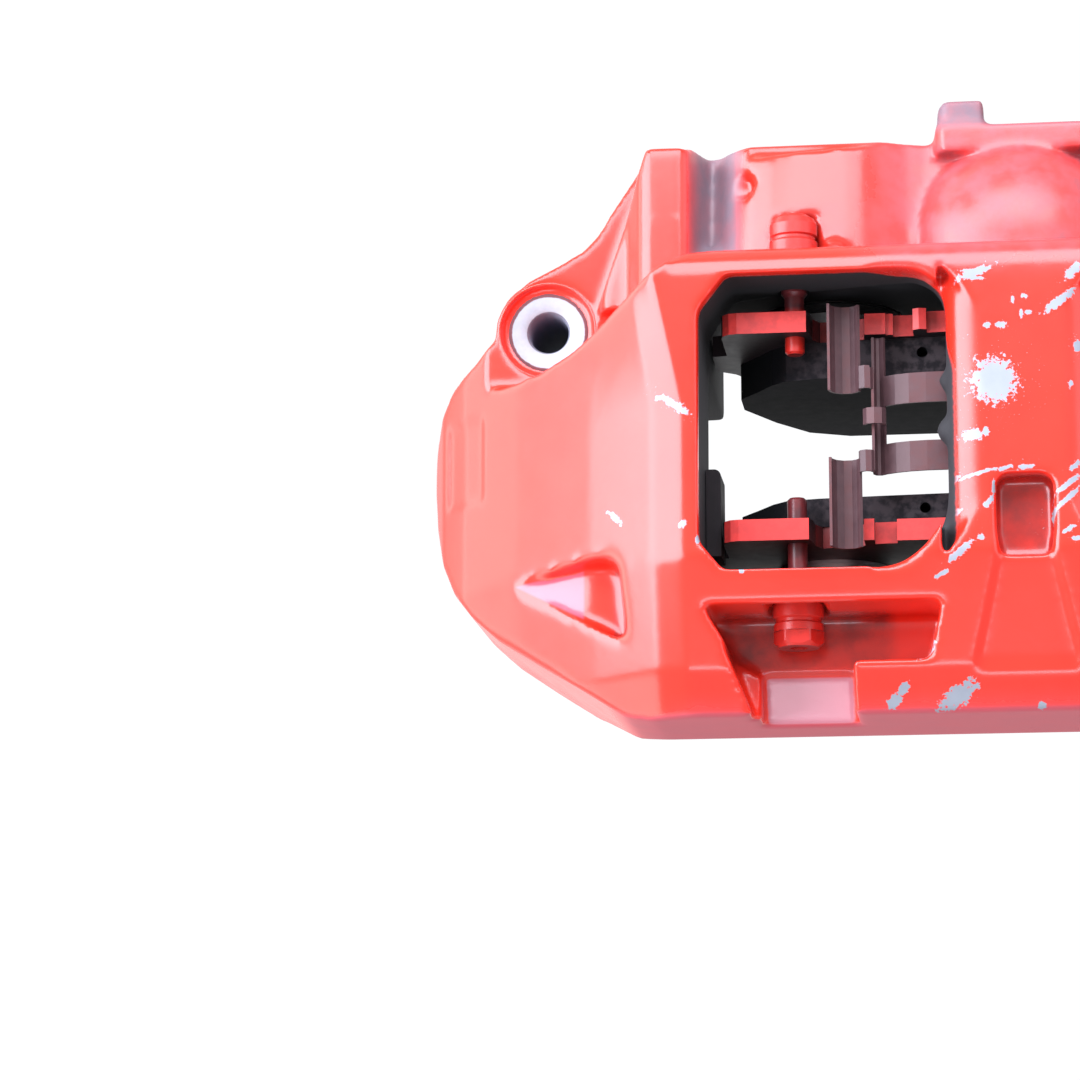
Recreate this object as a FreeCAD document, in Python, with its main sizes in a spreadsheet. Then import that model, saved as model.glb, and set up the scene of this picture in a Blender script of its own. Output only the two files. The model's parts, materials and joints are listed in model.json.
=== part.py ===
import FreeCAD, Part
import Sketcher
import math
import os
from FreeCAD import Vector, Rotation, Placement

# Fixed six-piston radial-mount brake caliper.
# Frame: X along the disc's tangent, Y along the disc's axle (+Y towards the
# vehicle), Z radially outwards.  Z = 0 is the mounting face of the two lugs and
# the origin lies midway between the two mounting bolt axes on that face.

os.makedirs("parts", exist_ok=True)
doc = FreeCAD.newDocument("brake_caliper")

# ------------------------------------------------------------------ sheet
sheet = doc.addObject("Spreadsheet::Sheet", "sizes")
cells = [
    ("disc_mid_y", -40.0), ("disc_axis_z", -105.0), ("disc_clear_rad", 198.5),
    ("slot_half", 20.5), ("cavity_half_x", 93.7), ("cavity_half_y", 44.0),
    ("crown_z", 110.0), ("face_out_y", -85.6), ("face_in_y", 92.4),
    ("lug_x", 144.4), ("lug_off", 40.0), ("lug_rad", 16.2), ("lug_top", 58.0),
    ("lug_hole_rad", 6.5), ("lug_seat_rad", 14.4), ("lug_seat_deep", 3.0),
    ("bore_side_rad", 18.06), ("bore_mid_rad", 19.06), ("bore_side_x", 58.0),
    ("bore_side_z", 44.0), ("bore_mid_z", 51.4), ("bore_deep", 36.0),
    ("piston_side_rad", 18.0), ("piston_mid_rad", 19.0), ("piston_long", 29.5),
    ("piston_wall", 3.5), ("piston_crown", 6.0), ("piston_out", 9.4),
    ("seal_wide", 3.2), ("seal_deep", 2.9), ("seal_at", 6.0),
    ("wiper_wide", 3.4), ("wiper_deep", 3.2), ("wiper_lip", 1.6),
    ("plate_thick", 6.4), ("plate_in", 28.1), ("lining_in", 11.0), ("lining_out", 8.6),
    ("ear_top", 92.0),
    ("pin_x", 66.8), ("pin_z", 84.0), ("pin_rad", 2.95), ("pin_head_rad", 7.25),
    ("pin_hex", 13.0), ("pin_thread_rad", 4.0), ("pin_eye_rad", 3.05), ("spring_thick", 0.8),
    ("bleed_z", 48.0), ("gallery_rad", 2.0), ("bleed_thread_rad", 4.9),
    ("bleed_hex", 11.0), ("inlet_rad", 4.55), ("inlet_x", 6.0), ("inlet_z", 62.0),
    ("plug_rad", 3.0), ("cap_rad", 5.6), ("cap_long", 13.0),
]
val = {}
for i, (alias, number) in enumerate(cells):
    sheet.set("A%d" % (i + 1), alias.replace("_", " "))
    sheet.set("B%d" % (i + 1), str(number))
    sheet.setAlias("B%d" % (i + 1), alias)
    val[alias] = number
doc.recompute()


def cell_sum(expr):
    """Value of a sum or difference of cells and numbers, such as 'bore_deep - 2.5'."""
    total, sign = 0.0, 1.0
    for word in str(expr).split():
        if word == "+":
            sign = 1.0
        elif word == "-":
            sign = -1.0
        else:
            total += sign * (val[word] if word in val else float(word))
            sign = 1.0
    return total


def bound(expr):
    """The same sum written with the sheet's own references."""
    return " ".join("sizes." + w if w in val else w for w in str(expr).split())


D = val["disc_mid_y"]
made = {}


def keep(node, obj):
    obj.Label = node
    made[node] = obj
    return obj


# ------------------------------------------------------------------ helpers
def prism_xy(pts, z0, z1, dy=D):
    w = Part.makePolygon([Vector(x, y + dy, z0) for x, y in pts] + [Vector(pts[0][0], pts[0][1] + dy, z0)])
    return Part.Face(w).extrude(Vector(0, 0, z1 - z0))


def prism_xz(pts, y0, y1, dy=D):
    w = Part.makePolygon([Vector(x, y0 + dy, z) for x, z in pts] + [Vector(pts[0][0], y0 + dy, pts[0][1])])
    return Part.Face(w).extrude(Vector(0, y1 - y0, 0))


def prism_yz(pts, x0, x1, dy=D):
    w = Part.makePolygon([Vector(x0, y + dy, z) for y, z in pts] + [Vector(x0, pts[0][0] + dy, pts[0][1])])
    return Part.Face(w).extrude(Vector(x1 - x0, 0, 0))


def both(left):
    """A left-hand list of (x, v) with its mirror image, as one closed outline."""
    return left + [(-x, v) for x, v in reversed(left)]


def mirrored(shape):
    return shape.mirror(Vector(0, 0, 0), Vector(1, 0, 0))


def pair(shape):
    return [shape, mirrored(shape)]


def cyl_y(r, x, z, y0, y1, dy=D):
    return Part.makeCylinder(r, y1 - y0, Vector(x, y0 + dy, z), Vector(0, 1, 0))


def arc_pts(cx, cy, r, a0, a1, n):
    return [(cx + r * math.cos(math.radians(a0 + (a1 - a0) * k / n)),
             cy + r * math.sin(math.radians(a0 + (a1 - a0) * k / n))) for k in range(n + 1)]


# ------------------------------------------------------------------ casting
def section(y, drop, lean=0.0):
    """Front-view outline of the casting at one depth, its top lowered by drop and its shoulder crease moved out by lean."""
    top = [(-183.4, 20), (-183.2, 30), (-179.4, 40), (-171.2, 50.5), (-152.0, 68.5),
           (-128.0, 89.5), (-107.0 - 0.8 * lean, 106.6 - 0.3 * lean), (-98.4 - lean, val["crown_z"])]
    left = [(-170.0, 0.0), (-178.5, 5.0)] + [(x, max(z - drop, 7.0 + 0.2 * k)) for k, (x, z) in enumerate(top)]
    pts = [Vector(x, y + D, z) for x, z in both(left)]
    return Part.makePolygon(pts + [pts[0]])


shell = Part.makeLoft([section(-90, 27.0), section(-73, 13.0)], True, True)
shell = shell.fuse(Part.makeLoft([section(-73, 13.0), section(-42, 0.0)], True, True))
shell = shell.fuse(Part.makeLoft([section(-42, 0.0), section(2, 0.0)], True, True))
shell = shell.fuse(Part.makeLoft([section(2, 0.0), section(46, 0.0, 9.8)], True, True))
shell = shell.fuse(Part.makeLoft([section(46, 0.0, 9.8), section(100, 0.0, 9.8)], True, True))

outline = [(0, -85.6), (-110, -85.6), (-118.5, -83.6), (-131, -75.3), (-146, -65.4), (-160, -55.8),
           (-168.5, -48), (-175.0, -39.5), (-179.4, -29.5), (-182.2, -17), (-183.3, -4), (-182.9, 8),
           (-180.2, 18), (-175.6, 25.5), (-167, 31.7), (-161, 37.5), (-160.2, 44), (-156.8, 50.5),
           (-150.5, 56), (-142, 60.3), (-133.5, 65), (-128, 71), (-124.6, 77), (-116, 90),
           (-111, 92.4), (0, 92.4)]
full_outline = prism_xy(outline + [(-x, y) for x, y in reversed(outline) if x != 0], -5, 125)
shell = shell.common(full_outline)

# the inboard half is lower than the bridge plate
edge = [(-200, 26), (-174.3, 24.5), (-166, 22.2), (-156, 21.4), (-145, 22.5), (-133.1, 26.6), (-124.8, 31.6), (-111.7, 40.9),
        (-105.3, 45.2), (-97.5, 49.7), (-88.4, 51.6), (-75, 51.7), (0, 51.2)]
lower = prism_xy(edge + [(-x, y) for x, y in reversed(edge) if x != 0] + [(200, 120), (-200, 120)], val["lug_top"], 130)
body = shell.cut(lower)

rib = both([(-128.5, 36), (-128.3, 61), (-125.8, 65), (-118.6, 66.6), (-114.2, 76), (-110.8, 78.4), (-101.2, 78.4),
            (-98.6, 76), (-96.4, 68.5), (-93.5, 65.5), (-90.4, 67.2), (-87.6, 71.6), (-84.2, 75.6), (-79.6, 79.0),
            (-73.5, 81.8), (-66.5, 83.6), (-59.5, 84.2), (-52.5, 83.4), (-46, 81.3), (-39.5, 78.0), (-33.5, 74.8),
            (-27, 72.6), (-20, 71.6)])
back = [(-130, 40), (-112, 91.4), (-97, 91.2), (-94, 89.6), (-80, 88.4), (-70, 88.0), (-58, 88.6), (-46, 90.2), (-36, 91.4), (-28, 91.8)]
face_in = prism_xy(both(back), 72.0, 130).fuse(prism_xy(both([(-130, 40), (-112, 92.4), (-28, 92.4)]), -10, 72.0))


def rib_at(y, fall):
    """The inboard half's top at one depth: the barrels fall away towards the face, the ribs hardly do."""
    pts = [Vector(x, y + D, z - (fall if -94 < x < 94 else 0.15 * fall)) for x, z in rib]
    return Part.makePolygon(pts + [pts[0]])


top_in = Part.makeLoft([rib_at(44, -0.9), rib_at(92.4, 6.0)], True, True).common(full_outline).common(face_in)
boss_rad, boss_y = 36.6, 59.0
dome = cyl_y(boss_rad, 0.0, val["bore_mid_z"], 42, boss_y)
dome = dome.fuse(Part.makeSphere(boss_rad, Vector(0, boss_y + D, val["bore_mid_z"]), Vector(1, 0, 0))).common(face_in)
# ramp that closes the rib channel against the bridge plate
ramp = prism_yz([(48, 60), (62.5, 66), (60, 68.5), (55, 76), (50, 84), (44, 84)], -98.4, -85.5)
lump = Part.makeSphere(4.2, Vector(-54.6, 54.6 + D, 82.0), Vector(1, 0.15, -0.1))
barrels = [dome] + pair(ramp) + pair(lump)
lugs = [Part.makeCylinder(val["lug_rad"], val["lug_top"], Vector(s * val["lug_x"], 0, 0)) for s in (-1, 1)]
body = body.multiFuse([top_in] + barrels + lugs)

# inlet boss on the inboard face, with the stop that keeps the hose end from turning
boss = prism_xz([(-23, 50), (-24.5, 56), (-24.5, 70), (-22, 73), (20, 73), (24.5, 70), (24.5, 56), (22, 50)], 88, 96.4)
stop = prism_xz([(-23.6, 53), (-23.6, 69), (-21.5, 72), (-9.5, 72), (-9.5, 53)], 94, 104.2)
stop_cut = prism_xy([(-26, 100), (-21.6, 104.4), (-26, 106)], 40, 80)
body = body.multiFuse([boss, stop.cut(stop_cut)])

cuts = []
# underside: lower edge of both halves rises towards the middle
cuts.append(prism_xz(both([(-152, -2), (-150, 0), (-131, 4.5), (-104, 11.5), (-62, 13.5), (-36, 21), (-18, 24)]), -95, 110))
# lugs stand down below their webs
web = prism_xz(both([(-190, -2), (-190, 26), (-166, 28), (-129, 30), (-118, 12), (-118, -2)]), 24, 110)
for s in (-1, 1):
    web = web.cut(Part.makeCylinder(val["lug_rad"], 80, Vector(s * val["lug_x"], 0, -5)))
web = web.cut(prism_xz([(-118, -5), (118, -5), (118, 60), (-118, 60)], 20, 120))
cuts.append(web)
# lower edges of the outboard and inboard faces are drawn in
cuts.append(prism_yz([(-86.5, 43), (-85.6, 43), (-82.5, 26), (-75, 10), (-72, -3), (-86.5, -3)], -200, 200))
cuts.append(prism_yz([(93.5, 34), (92.4, 34), (86, 18), (80, 8), (78, -3), (93.5, -3)], -200, 200))
# rim of the disc and the pocket for the pads
cuts.append(cyl_y(val["disc_clear_rad"], 0, val["disc_axis_z"], -val["slot_half"], val["slot_half"]))
cavity = Part.makeBox(2 * val["cavity_half_x"], 2 * val["cavity_half_y"], 140,
                      Vector(-val["cavity_half_x"], D - val["cavity_half_y"], -20))
cavity = cavity.common(cyl_y(val["disc_clear_rad"], 0, val["disc_axis_z"], -60, 60))
cuts.append(cavity)
# two windows in the bridge plate
window = ([(-93.7, 31.0), (-85.4, 41.9), (-33.5, 41.9)] + arc_pts(-33.5, 30.2, 11.7, 90, 0, 5)[1:]
          + [(-21.9, -24.0)] + arc_pts(-43.9, -24.0, 22.0, 0, -90, 7)[1:]
          + [(-86.8, -46.0), (-94.0, -37.5)])
cuts += pair(prism_xy(window, 40, 130))
# rolled edges of the centre bridge and of the inboard bar
roll = [(-24, 100.5), (-21.9, 100.5), (-21.2, 103.6), (-19.4, 106.4), (-16.6, 108.6), (-12.2, 110.02), (-12.2, 114), (-24, 114)]
fade = prism_xy([(-26, -46), (-21.9, -42), (-12.0, -27), (-12.0, 29), (-21.9, 41.9), (-26, 43)], 90, 120)
cuts += pair(prism_xz(roll, -46, 43).common(fade))
cuts.append(prism_yz([(53, 99), (51.4, 99), (50.9, 103), (49.2, 106.6), (46.2, 109.1), (42.6, 110.02), (42.6, 114), (53, 114)], -103, 103))
# recess round the outboard pin heads and the open notch below it
recess = [(-93.6, -55.2), (-24.4, -55.2), (-28.4, -71.2), (-50.5, -71.2), (-50.5, -72.0), (-79.5, -72.0), (-86.2, -67.5)]
cuts += pair(prism_xy(recess, 74.0, 125))
notch = prism_yz([(-71, 71.4), (-92, 58.8), (-92, 125), (-71, 125)], -78.3, -50.6)
cuts += pair(notch)
side = prism_xy([(-88.0, -66.0), (-77.8, -66.0), (-77.8, -92.0), (-80.4, -92.0), (-80.8, -84.0)], 76, 125)
cuts += pair(side)
# seats of the pad pin heads
seat_out = prism_xz([(-75.2, 84.0), (-75.2, 99.8), (-58.4, 99.8), (-58.4, 84.0)], -66, -52)
seat_out = seat_out.fuse(cyl_y(8.4, -val["pin_x"], val["pin_z"], -70, -52))
seat_in = cyl_y(7.6, -val["pin_x"], val["pin_z"], 51.9, 67.0)
cuts += pair(seat_out) + pair(seat_in)
# room for the leaf of the pad spring under the centre bridge
cuts.append(prism_xz([(-30, 80), (30, 80), (30, 94.6), (-30, 94.6)], -16.5, 16.5))
# cast slot in the centre bridge and the shallow trough below it
slot = prism_xy([(-8.2, -36), (-8.2, -22.5), (-6.2, -20), (6.2, -20), (8.2, -22.5), (8.2, -36), (7.2, -43.5), (-7.2, -43.5)], 99.0, 125)
cuts.append(slot)
trough = prism_yz([(-36, 108.4), (-42, 108.4), (-72.0, 95.6), (-75.4, 95.0), (-75.4, 125), (-36, 125)], -15.2, 15.2)
taper = prism_xy([(-8.0, -36), (8.0, -36), (8.2, -43), (15.2, -72), (15.2, -76), (-15.2, -76), (-15.2, -72), (-8.2, -43)], 80, 125)
cuts.append(trough.common(taper))
# three-cornered lightening pocket in each shoulder
tri = prism_xy([(-154.5, -41.6), (-127, -38.4), (-121.5, -38.8), (-118.6, -42), (-117.2, -61.5), (-119.5, -61.5)], 40, 125)
floor_tri = prism_xz([(-160, 62.8), (-154.5, 65.6), (-130.0, 77.8), (-112, 79.2), (-112, 126), (-160, 126)], -70, -30)
cuts += pair(tri.common(floor_tri))
# round dimple, and the shallow frame of the left-hand data field
cuts += pair(Part.makeCylinder(3.9, 8, Vector(-82.8, 79.4 + D, 69.5)))
skin = Part.Face(section(-13.2, 0.0)).extrude(Vector(0, 27.0, 0))
inner = skin.copy()
inner.translate(Vector(0.55, 0, -0.55))
field = skin.cut(inner).common(Part.makeBox(13.0, 27.0, 30.0, Vector(-177.4, D - 13.2, 40)))
cuts.append(field)

blocks = []
bumps = []
for sx in (-1, 1):
    bumps.append(Part.makeSphere(3.3, Vector(sx * 20.9, D + 10.2, 98.4)))
    bumps.append(Part.makeSphere(4.2, Vector(sx * 20.9, D - 4.8, 99.2)))

for c in cuts:
    body = body.cut(c)
# the lugs keep their full round down to the mounting face
feet = [Part.makeCylinder(val["lug_rad"], 40, Vector(s * val["lug_x"], 0, 0)) for s in (-1, 1)]
body = body.multiFuse(blocks + bumps + feet)
body = body.cut(cyl_y(val["disc_clear_rad"], 0, val["disc_axis_z"], -val["slot_half"], val["slot_half"]))
casting = doc.addObject("Part::Feature", "raw_casting")
casting.Shape = body.removeSplitter()
casting.Label = "raw_casting"
print("casting solids", len(casting.Shape.Solids), "valid", casting.Shape.isValid(), "volume", round(casting.Shape.Volume))


def tool(name, radius, height, base, axis):
    """A drill or boring bar: a Part::Cylinder bound to the sheet."""
    o = doc.addObject("Part::Cylinder", name)
    o.setExpression("Radius", bound(radius))
    o.setExpression("Height", bound(height))
    o.Placement = Placement(Vector(*base), Rotation(Vector(0, 0, 1), Vector(*axis)))
    return o


tools = []
bores = [("left", -1, "bore_side_rad", val["bore_side_z"]), ("middle", 0, "bore_mid_rad", val["bore_mid_z"]),
         ("right", 1, "bore_side_rad", val["bore_side_z"])]
for half, sy in (("inboard", 1), ("outboard", -1)):
    for place, sx, rad, bz in bores:
        x = sx * val["bore_side_x"]
        deep = "bore_deep + 2" if half == "inboard" else "bore_deep - 2"
        face = D + sy * (val["cavity_half_y"] - 2)
        tools.append(tool("bore_%s_%s" % (half, place), rad, deep, (x, face, bz), (0, sy, 0)))
        tools.append(tool("seal_groove_%s_%s" % (half, place), rad + " + seal_deep", "seal_wide + 0.1",
                          (x, D + sy * (val["cavity_half_y"] + val["seal_at"]), bz), (0, sy, 0)))
        tools.append(tool("wiper_groove_%s_%s" % (half, place), rad + " + wiper_deep", "wiper_wide + 1",
                          (x, face + sy * 1.0, bz), (0, sy, 0)))
for s in (-1, 1):
    tools.append(tool("lug_hole_%d" % s, "lug_hole_rad", "lug_top + 40", (s * val["lug_x"], 0, -5), (0, 0, 1)))
    tools.append(tool("lug_seat_%d" % s, "lug_seat_rad", "lug_top - 10", (s * val["lug_x"], 0, val["lug_top"] - val["lug_seat_deep"]), (0, 0, 1)))
    # pad pin holes through the bars and threads
    tools.append(tool("pin_hole_in_%d" % s, "pin_thread_rad", "lug_seat_deep + 12", (s * val["pin_x"], D + 40, val["pin_z"]), (0, 1, 0)))
    tools.append(tool("pin_hole_out_%d" % s, "pin_thread_rad", "lug_seat_deep + 12", (s * val["pin_x"], D - 43, val["pin_z"]), (0, -1, 0)))
# fluid passages: one gallery along each half, the way across, and the inlet
GI, GO, GX = D + 76.5, D - 72.5, 106.0
tools.append(tool("gallery_in", "gallery_rad", "bore_side_x + 72", (-58, GI, val["bleed_z"]), (1, 0, 0)))
tools.append(tool("gallery_in_b", "gallery_rad", "bore_side_x + 20", (60, GI, val["bleed_z"]), (1, 0, 0)))
tools.append(tool("gallery_out", "gallery_rad", "bore_side_x + 72", (-58, GO, val["bleed_z"]), (1, 0, 0)))
tools.append(tool("gallery_out_b", "gallery_rad", "bore_side_x + 28", (60, GO, val["bleed_z"]), (1, 0, 0)))
tools.append(tool("bleed_thread_in", "bleed_thread_rad", "lug_seat_deep + 60", (116, GI, val["bleed_z"]), (1, 0, 0)))
tools.append(tool("bleed_thread_out", "bleed_thread_rad", "lug_seat_deep + 60", (116, GO, val["bleed_z"]), (1, 0, 0)))
tools.append(tool("bleed_seat_in", "plug_rad + 5", "lug_seat_deep + 60", (123.4, GI, val["bleed_z"]), (1, 0, 0)))
tools.append(tool("bleed_seat_out", "plug_rad + 5", "lug_seat_deep + 60", (127.0, GO, val["bleed_z"]), (1, 0, 0)))
tools.append(tool("cross_drill", "gallery_rad", "bore_deep + 127", (GX, D - 72.5, 70.0), (0, 1, 0)))
tools.append(tool("cross_plug_seat", "plug_rad", "lug_seat_deep + 9", (GX, D + 85.4, 70.0), (0, 1, 0)))
tools.append(tool("drop_in", "gallery_rad", "lug_top - 22", (GX, GI, val["bleed_z"]), (0, 0, 1)))
tools.append(tool("drop_in_seat", "plug_rad", "lug_seat_deep + 9", (GX, GI, 73.4), (0, 0, 1)))
tools.append(tool("drop_out", "gallery_rad", "lug_top - 5", (GX, GO, val["bleed_z"]), (0, 0, 1)))
tools.append(tool("drop_out_seat", "plug_rad", "lug_seat_deep + 15", (GX, GO, 86.0), (0, 0, 1)))
tools.append(tool("inlet_thread", "inlet_rad", "lug_seat_deep + 10.4", (val["inlet_x"], D + 83.4, val["inlet_z"]), (0, 1, 0)))
tools.append(tool("inlet_drill", "gallery_rad", "lug_seat_deep + 12", (val["inlet_x"], D + 76, val["inlet_z"]), (0, 1, 0)))
doc.recompute()
drills = doc.addObject("Part::MultiFuse", "drills")
drills.Shapes = tools
cut = doc.addObject("Part::Cut", "machined_casting")
cut.Base = casting
cut.Tool = drills
doc.recompute()
keep("caliper_body", cut)
print("body solids", len(cut.Shape.Solids), "valid", cut.Shape.isValid(), "volume", round(cut.Shape.Volume), cut.Shape.BoundBox)


# ------------------------------------------------------------------ sketched parts
def plane_of(body, role):
    return [o for o in body.Origin.OriginFeatures if o.Role == role][0]


def turned(node, profile, base, axis):
    """A part of revolution: profile is (radius, along) with sums of cells, about the local Z axis."""
    b = doc.addObject("PartDesign::Body", node + "_body")
    sk = b.newObject("Sketcher::SketchObject", node + "_profile")
    sk.AttachmentSupport = [(plane_of(b, "XZ_Plane"), "")]
    sk.MapMode = "FlatFace"
    pts = [(cell_sum(r), cell_sum(a)) for r, a in profile]
    n = len(pts)
    for k in range(n):
        p, q = pts[k], pts[(k + 1) % n]
        sk.addGeometry(Part.LineSegment(Vector(p[0], p[1], 0), Vector(q[0], q[1], 0)), False)
    for k in range(n):
        sk.addConstraint(Sketcher.Constraint("Coincident", k, 2, (k + 1) % n, 1))
    for k in range(n):
        for which, expr, axis_geo in (("DistanceX", profile[k][0], -2), ("DistanceY", profile[k][1], -1)):
            value = cell_sum(expr)
            if abs(value) < 1e-9:
                sk.addConstraint(Sketcher.Constraint("PointOnObject", k, 1, axis_geo))
                continue
            c = sk.addConstraint(Sketcher.Constraint(which, -1, 1, k, 1, value))
            if any(w in val for w in str(expr).split()):
                sk.setExpression("Constraints[%d]" % c, bound(expr))
    rev = b.newObject("PartDesign::Revolution", node + "_turned")
    rev.Profile = sk
    rev.ReferenceAxis = (sk, ["V_Axis"])
    rev.Angle = 360.0
    b.Tip = rev
    b.Placement = Placement(Vector(*base), Rotation(Vector(0, 0, 1), Vector(*axis)))
    return b


def padded(node, outline_xz, length, y_start, sy, holes=()):
    """A plate: outline in X and Z, thickened away from the disc (sy gives the side)."""
    b = doc.addObject("PartDesign::Body", node + "_body")
    sk = b.newObject("Sketcher::SketchObject", node + "_outline")
    sk.AttachmentSupport = [(plane_of(b, "XZ_Plane"), "")]
    sk.MapMode = "FlatFace"
    n = len(outline_xz)
    for k in range(n):
        p, q = outline_xz[k], outline_xz[(k + 1) % n]
        sk.addGeometry(Part.LineSegment(Vector(p[0], p[1], 0), Vector(q[0], q[1], 0)), False)
    for k in range(n):
        sk.addConstraint(Sketcher.Constraint("Coincident", k, 2, (k + 1) % n, 1))
    for hx, hz, hr in holes:
        c = sk.addGeometry(Part.Circle(Vector(hx, hz, 0), Vector(0, 0, 1), cell_sum(hr)), False)
        i = sk.addConstraint(Sketcher.Constraint("Radius", c, cell_sum(hr)))
        if str(hr) in val:
            sk.setExpression("Constraints[%d]" % i, bound(hr))
    pad = b.newObject("PartDesign::Pad", node + "_pad")
    pad.Profile = sk
    pad.setExpression("Length", bound(length))
    b.Tip = pad
    doc.recompute()
    low = b.Shape.BoundBox.YMin
    thick = cell_sum(length)
    want = D + sy * y_start if sy > 0 else D + sy * y_start - thick
    b.Placement = Placement(Vector(0, want - low, 0), Rotation())
    return b


# pistons, their seals and the wipers in the mouths of the bores
for half, sy in (("inboard", 1), ("outboard", -1)):
    for place, sx, rad, bz in bores:
        x = sx * val["bore_side_x"]
        name = {"left": "left", "middle": "centre", "right": "right"}[place]
        r = "piston_side_rad" if place != "middle" else "piston_mid_rad"
        front = D + sy * (val["plate_in"] + val["plate_thick"] + 0.05)
        prof = [("0", "piston_long - piston_crown"), (r + " - piston_wall", "piston_long - piston_crown"), (r + " - piston_wall", "0"),
                (r + " - 1.2", "0"), (r + " - 1.2", "1.2"), (r + " - 2.0", "1.2"), (r + " - 2.0", "3.4"), (r + "", "4.2"),
                (r, "piston_long - 1.5"), (r + " - 1.5", "piston_long"), ("0", "piston_long")]
        keep("%s_piston_%s" % (half, name), turned("%s_piston_%s" % (half, name), prof, (x, front, bz), (0, sy, 0)))
        groove = D + sy * (val["cavity_half_y"] + val["seal_at"] + 0.05)
        prof = [(r + " + 0.04", "0"), (r + " + 2.9", "0"), (r + " + 2.9", "seal_wide"), (r + " + 0.04", "seal_wide")]
        keep("%s_seal_%s" % (half, name), turned("%s_seal_%s" % (half, name), prof, (x, groove, bz), (0, sy, 0)))
        mouth = D + sy * (val["cavity_half_y"] - 2.2)
        prof = [(r + " + 0.05", "0"), (r + " + 1.1", "0"), (r + " + 1.8", "0.9"), (r + " + 1.8", "2.3"), (r + " + 3.2", "2.3"), (r + " + 3.2", "wiper_wide + 1.8"), (r + " + 0.4", "wiper_wide + 1.8"),
                (r + " + 0.4", "1.4"), (r + " + 0.05", "1.4")]
        keep("%s_wiper_%s" % (half, name), turned("%s_wiper_%s" % (half, name), prof, (x, mouth, bz), (0, sy, 0)))

# pads


side = [(0, 3.4), (-54, 3.4), (-68, 10), (-78.5, 25), (-87.6, 42.5), (-92.9, 47), (-92.9, 65.2), (-88.5, 66.0), (-88.5, 86.5), (-87.9, 89.4),
        (-86.0, 91.4), (-83.6, 92.0), (-63.0, 92.0), (-62.0, 88.0), (-61.6, 82.0), (-59.6, 77.6)]
crown_in = [(-46.4, 80.4), (-46.0, 86.4), (-39.8, 86.4), (-39.8, 85.2), (-37.6, 85.2), (-37.6, 83.0), (-31.6, 83.0), (-31.6, 90.2), (-29.8, 91.2),
            (-27.6, 90.6), (-27.6, 86.6), (-16, 87.2), (0, 87.6)]
crown_out = [(-47.0, 80.4), (-47.0, 88.6), (-44.0, 88.6), (-44.0, 82.6), (-37.4, 83.0), (-37.4, 87.0), (-16, 87.6), (0, 87.8)]
for half, sy, crown in (("inboard", 1, crown_in), ("outboard", -1, crown_out)):
    left = side + crown
    ring = left + [(-x, z) for x, z in reversed(left) if x != 0]
    holes = [(-val["pin_x"], val["pin_z"], "pin_eye_rad"), (val["pin_x"], val["pin_z"], "pin_eye_rad")]
    keep("%s_pad_backing_plate" % half, padded("%s_pad_backing_plate" % half, ring, "plate_thick", val["plate_in"], sy, holes))
    lining = "lining_in" if half == "inboard" else "lining_out"
    left = [(0, 1.2), (-54.5, 1.2), (-67, 7.5), (-76.6, 22.5), (-85.2, 41.0), (-85.2, 54.5), (-79.7, 63.0), (-74.6, 71.4), (-70.0, 76.2), (-60.5, 78.2),
            (-42, 79.9), (-24, 81.2), (0, 82.0)]
    ring = left + [(-x, z) for x, z in reversed(left) if x != 0]
    body_obj = padded("%s_pad_friction" % half, ring, lining, val["plate_in"] - val[lining], sy)
    # relief grooves: one straight down the middle, and a hole for the wear lead
    g = doc.addObject("Part::Box", "%s_groove_tool" % half)
    g.Length, g.Width, g.Height = 3.0, 7.0, 110.0
    y_face = D + sy * (val["plate_in"] - val[lining])
    g.Placement = Placement(Vector(-1.5, y_face - 3.5, -5), Rotation())
    h = doc.addObject("Part::Cylinder", "%s_lead_tool" % half)
    h.Radius, h.Height = 1.6, 16.0
    h.Placement = Placement(Vector(-29.2, D + sy * 23.6, 72.0), Rotation())
    cutter = doc.addObject("Part::MultiFuse", "%s_lining_tools" % half)
    cutter.Shapes = [g, h]
    cut2 = doc.addObject("Part::Cut", "%s_lining_cut" % half)
    cut2.Base, cut2.Tool = body_obj, cutter
    keep("%s_pad_friction" % half, cut2)

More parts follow.
